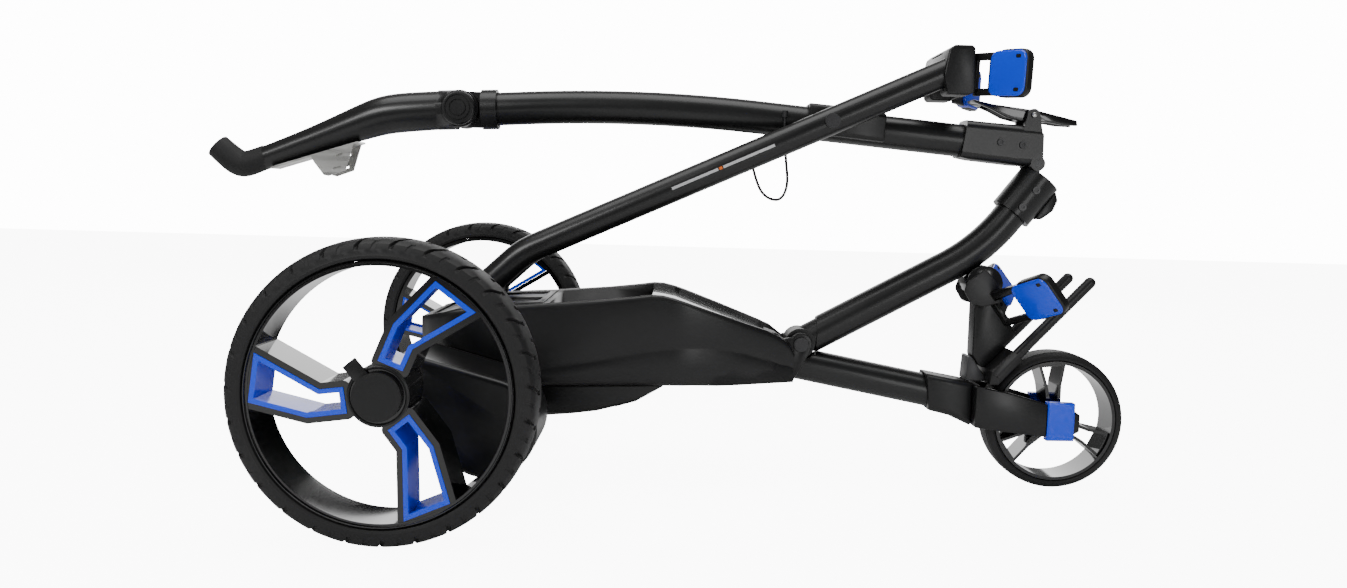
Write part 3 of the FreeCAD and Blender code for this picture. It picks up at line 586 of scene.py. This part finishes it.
def padBlock(settings, start, end, height, thick, corner, edgeRound):
    bm = bmesh.new()
    bmesh.ops.create_cube(bm, size=1.0)
    bmesh.ops.scale(bm, vec=(end - start, thick, height), verts=bm.verts)
    bmesh.ops.translate(bm, vec=((start + end) / 2, 0.0, 0.0), verts=bm.verts)
    upright = [edge for edge in bm.edges if abs((edge.verts[0].co - edge.verts[1].co).normalized().y) > 0.99]
    roundEdges(bm, upright, corner, 6)
    rims = [edge for edge in bm.edges if edge.calc_face_angle(0.0) > math.radians(60)]
    roundEdges(bm, rims, edgeRound, 3)
    along, up = padAxes(settings)
    across = up.cross(along)
    turn = Matrix((along, across, up)).transposed().to_4x4()
    bmesh.ops.transform(bm, matrix=Matrix.Translation(settings["root"]) @ turn, verts=bm.verts)
    return bm


def bagPads(name, node):
    settings = padLook[name]
    reach = Vector(settings["reach"]).length
    start = settings["from"]
    tall = settings["height"]
    facing = padBlock(settings, start, reach + 0.0005, tall - 0.003, 0.0140, 0.0095, 0.0022)
    edging = padBlock(settings, start + 0.006, reach + 0.0025, tall, 0.0105, 0.0110, 0.0020)
    shapes = {"facing": (facing, "blue_plastic"), "edging": (edging, "satin_plastic")}
    along, up = padAxes(settings)
    for part, share in (("slotLow", -0.34), ("slotHigh", 0.34)):
        slot = padBlock(settings, reach - 0.0125, reach - 0.0060, 0.0042, 0.0146, 0.0016, 0.0003)
        bmesh.ops.translate(slot, vec=up * tall * share, verts=slot.verts)
        shapes[part] = (slot, "satin_plastic")
    for part, (bm, look) in shapes.items():
        for side in ("Right", "Left"):
            copy = bm.copy()
            if side == "Left":
                bmesh.ops.scale(copy, vec=(1.0, -1.0, 1.0), verts=copy.verts)
            piece = finishPiece(name + "Pad" + part[0].upper() + part[1:] + side, copy, materials[look],
                                bodyOf[node], 40.0)
            if part == "facing" and side == "Right":
                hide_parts(node)
        bm.free()


bagPads("lower", "lower_pads")
bagPads("upper", "upper_pads")
print("chassis shell, stem and pads done")

# cheeks of the cup that the folded mast rests in; the outline is (x, z), metres
cupLook = {
    "outline": [(0.3345, 0.2250), (0.3380, 0.2365), (0.3575, 0.2505), (0.3685, 0.2390),
                (0.3790, 0.2200), (0.3770, 0.2130), (0.3560, 0.2075), (0.3430, 0.2110)],
    "inside": 0.0194, "thick": 0.0034, "corner": 0.0028, "edge": 0.0012,
}


def cupCheek(side, sign):
    bm = bmesh.new()
    corners = [bm.verts.new((x, sign * cupLook["inside"], z)) for x, z in cupLook["outline"]]
    face = bm.faces.new(corners)
    raised = bmesh.ops.extrude_face_region(bm, geom=[face])["geom"]
    moved = [item for item in raised if isinstance(item, bmesh.types.BMVert)]
    bmesh.ops.translate(bm, vec=(0.0, sign * cupLook["thick"], 0.0), verts=moved)
    upright = [edge for edge in bm.edges if abs(edge.verts[0].co.y - edge.verts[1].co.y) > 0.001]
    roundEdges(bm, upright, cupLook["corner"], 4)
    bmesh.ops.recalc_face_normals(bm, faces=bm.faces)
    rims = [edge for edge in bm.edges if edge.calc_face_angle(0.0) > math.radians(60)]
    roundEdges(bm, rims, cupLook["edge"], 3)
    piece = finishPiece("cupCheek" + side, bm, materials["satin_plastic"], "chassis", 40.0)


cupCheek("Right", -1)
cupCheek("Left", 1)


# bright cap on each end of the lever's pin, metres
pinLook = {"centre": (0.402841, 0.0, 0.424), "radius": 0.0026, "from": 0.0229, "proud": 0.0012, "taper": 0.7,
           "steps": 32}


def leverPinCap(side, sign):
    middle = Vector(pinLook["centre"])
    radius = pinLook["radius"]
    inner = sign * pinLook["from"]
    outer = sign * (pinLook["from"] + pinLook["proud"])
    profile = [(inner, 0.0), (inner, radius), ((inner + outer) / 2, radius),
               (outer, radius * pinLook["taper"]), (outer, 0.0)]
    bm = bmesh.new()
    verts = [bm.verts.new((middle.x, y, middle.z + away)) for y, away in profile]
    edges = [bm.edges.new(pair) for pair in zip(verts, verts[1:])]
    bmesh.ops.spin(bm, geom=verts + edges, cent=middle, axis=(0.0, 1.0, 0.0), angle=2 * math.pi,
                   steps=pinLook["steps"], use_merge=True)
    piece = finishPiece("leverPinCap" + side, bm, materials["bright_steel"], "handle_tube", 40.0)


leverPinCap("Right", -1)
leverPinCap("Left", 1)


# a plain narrow band on the outer face of each strut tube, broken by a short accent
# start and end are (x, z) on the tube's middle line, metres; spans are shares of the way between them
stripeLook = {
    "start": (0.0015, 0.3309), "end": (0.1121, 0.3811), "offset": 0.040, "tube": 0.0151, "thick": 0.0002,
    "half": 0.10,
    "spans": (("stripePale", 0.0, 0.45, "stripe_pale"), ("stripeAccent", 0.46, 0.49, "stripe_orange"),
              ("stripeTail", 0.50, 1.0, "stripe_pale")),
}


def strutStripe(side, sign):
    start = Vector((stripeLook["start"][0], sign * stripeLook["offset"], stripeLook["start"][1]))
    end = Vector((stripeLook["end"][0], sign * stripeLook["offset"], stripeLook["end"][1]))
    along = (end - start).normalized()
    out = Vector((0.0, sign, 0.0))
    spokes = [Matrix.Rotation(stripeLook["half"] * step / 2, 3, along) @ out for step in range(-2, 3)]
    for name, first, last, look in stripeLook["spans"]:
        low = start.lerp(end, first)
        high = start.lerp(end, last)
        bm = bmesh.new()
        verts = [bm.verts.new(low + spoke * stripeLook["tube"]) for spoke in spokes]
        edges = [bm.edges.new(pair) for pair in zip(verts, verts[1:])]
        grown = bmesh.ops.extrude_edge_only(bm, edges=edges)["geom"]
        moved = [item for item in grown if isinstance(item, bmesh.types.BMVert)]
        bmesh.ops.translate(bm, vec=high - low, verts=moved)
        bmesh.ops.recalc_face_normals(bm, faces=bm.faces)
        bmesh.ops.solidify(bm, geom=bm.faces[:], thickness=stripeLook["thick"])
        piece = finishPiece(name + side, bm, materials[look], "strut", 40.0)


strutStripe("Right", -1)
strutStripe("Left", 1)


# moulded and machined pieces, with the edge radius each is made with, metres
edgeRadius = {
    "nose_deck": 0.0010, "rear_deck": 0.0012, "belly_cover": 0.0025, "nose_bracket": 0.0012,
    "front_sleeve": 0.0015, "front_fork": 0.0012, "fork_caps": 0.0005, "bracket_column": 0.0016,
    "mast_rest": 0.0008, "strut_saddle": 0.0012, "drive_housings": 0.0012, "bracket_boot": 0.0012,
    "bag_foot": 0.0008, "lower_arms": 0.0010, "upper_arms": 0.0010, "bag_bracket": 0.0018,
    "lock_lever": 0.0010, "latch_catch": 0.0008, "rear_release_tab_right": 0.0006,
    "rear_release_tab_left": 0.0006, "battery_terminal": 0.0006,
}

for node, width in edgeRadius.items():
    roundedCopy(node, width)
print("edges rounded on", len(edgeRadius), "pieces")

# screws and pins are drawn dark, whatever their slot
screwNodes = ("head_screws", "mast_screws", "hinge_pins", "mast_pivot_pin", "strut_bolts")
for node, piece in nodes.items():
    look = "dark_screw" if node in screwNodes else slotOf[node]
    if piece.data.materials:
        piece.data.materials[0] = materials[look]
    else:
        piece.data.materials.append(materials[look])
print("materials set")


# floor and lights: the backdrop and "floorLift" are seen by the camera only; power is in watts
studio = {
    "floor": 0.9, "floorSize": 6.0, "floorRoughness": 0.55, "floorLift": 9.5, "world": 0.16, "backdrop": 14.0,
    "softboxes": {
        "overheadSoftbox": {"place": (0.0, -0.2, 2.2), "aim": (0.0, 0.0, 0.2), "size": (2.6, 1.4),
                            "power": 40.0},
        "backSoftbox": {"place": (0.0, 2.4, 1.3), "aim": (0.0, 0.0, 0.3), "size": (3.0, 1.4), "power": 34.0},
        "frontSoftbox": {"place": (-1.1, -1.5, 1.25), "aim": (-0.05, 0.0, 0.2), "size": (0.9, 0.5),
                         "power": 16.0},
        "lowStrip": {"place": (0.9, -1.9, 0.25), "aim": (0.1, 0.0, 0.15), "size": (0.5, 0.9), "power": 7.0},
    },
}


def addFloor():
    bm = bmesh.new()
    bmesh.ops.create_grid(bm, x_segments=2, y_segments=2, size=studio["floorSize"])
    mesh = bpy.data.meshes.new("studioFloor")
    bm.to_mesh(mesh)
    bm.free()
    material = bpy.data.materials.new("paleFloor")
    material.use_nodes = True
    shader = material.node_tree.nodes["Principled BSDF"]
    shader.inputs["Base Color"].default_value = (studio["floor"], studio["floor"], studio["floor"], 1.0)
    shader.inputs["Roughness"].default_value = studio["floorRoughness"]
    shader.inputs["Emission Color"].default_value = (1.0, 1.0, 1.0, 1.0)
    seen = addNode(material.node_tree, "ShaderNodeLightPath")
    lift = addNode(material.node_tree, "ShaderNodeMath", operation="MULTIPLY")
    lift.inputs[1].default_value = studio["floorLift"]
    material.node_tree.links.new(seen.outputs["Is Camera Ray"], lift.inputs[0])
    material.node_tree.links.new(lift.outputs["Value"], shader.inputs["Emission Strength"])
    mesh.materials.append(material)
    floor = bpy.data.objects.new("studioFloor", mesh)
    bpy.context.scene.collection.objects.link(floor)


def addSoftbox(name, place, aim, size, power):
    data = bpy.data.lights.new(name, "AREA")
    data.shape = "RECTANGLE"
    data.size = size[0]
    data.size_y = size[1]
    data.energy = power
    lamp = bpy.data.objects.new(name, data)
    bpy.context.scene.collection.objects.link(lamp)
    look = (Vector(aim) - Vector(place)).to_track_quat("-Z", "Y")
    lamp.matrix_world = Matrix.Translation(place) @ look.to_matrix().to_4x4()


def addStudio():
    world = bpy.data.worlds.new("studioWorld")
    world.use_nodes = True
    tree = world.node_tree
    fill = tree.nodes["Background"]
    fill.inputs["Color"].default_value = (1.0, 1.0, 1.0, 1.0)
    fill.inputs["Strength"].default_value = studio["world"]
    backdrop = addNode(tree, "ShaderNodeBackground")
    backdrop.inputs["Color"].default_value = (1.0, 1.0, 1.0, 1.0)
    backdrop.inputs["Strength"].default_value = studio["backdrop"]
    either = addNode(tree, "ShaderNodeMixShader")
    seen = addNode(tree, "ShaderNodeLightPath")
    tree.links.new(seen.outputs["Is Camera Ray"], either.inputs["Fac"])
    tree.links.new(fill.outputs["Background"], either.inputs[1])
    tree.links.new(backdrop.outputs["Background"], either.inputs[2])
    tree.links.new(either.outputs["Shader"], tree.nodes["World Output"].inputs["Surface"])
    bpy.context.scene.world = world
    addFloor()
    for name, box in studio["softboxes"].items():
        addSoftbox(name, box["place"], box["aim"], box["size"], box["power"])


addStudio()
print("studio ready")
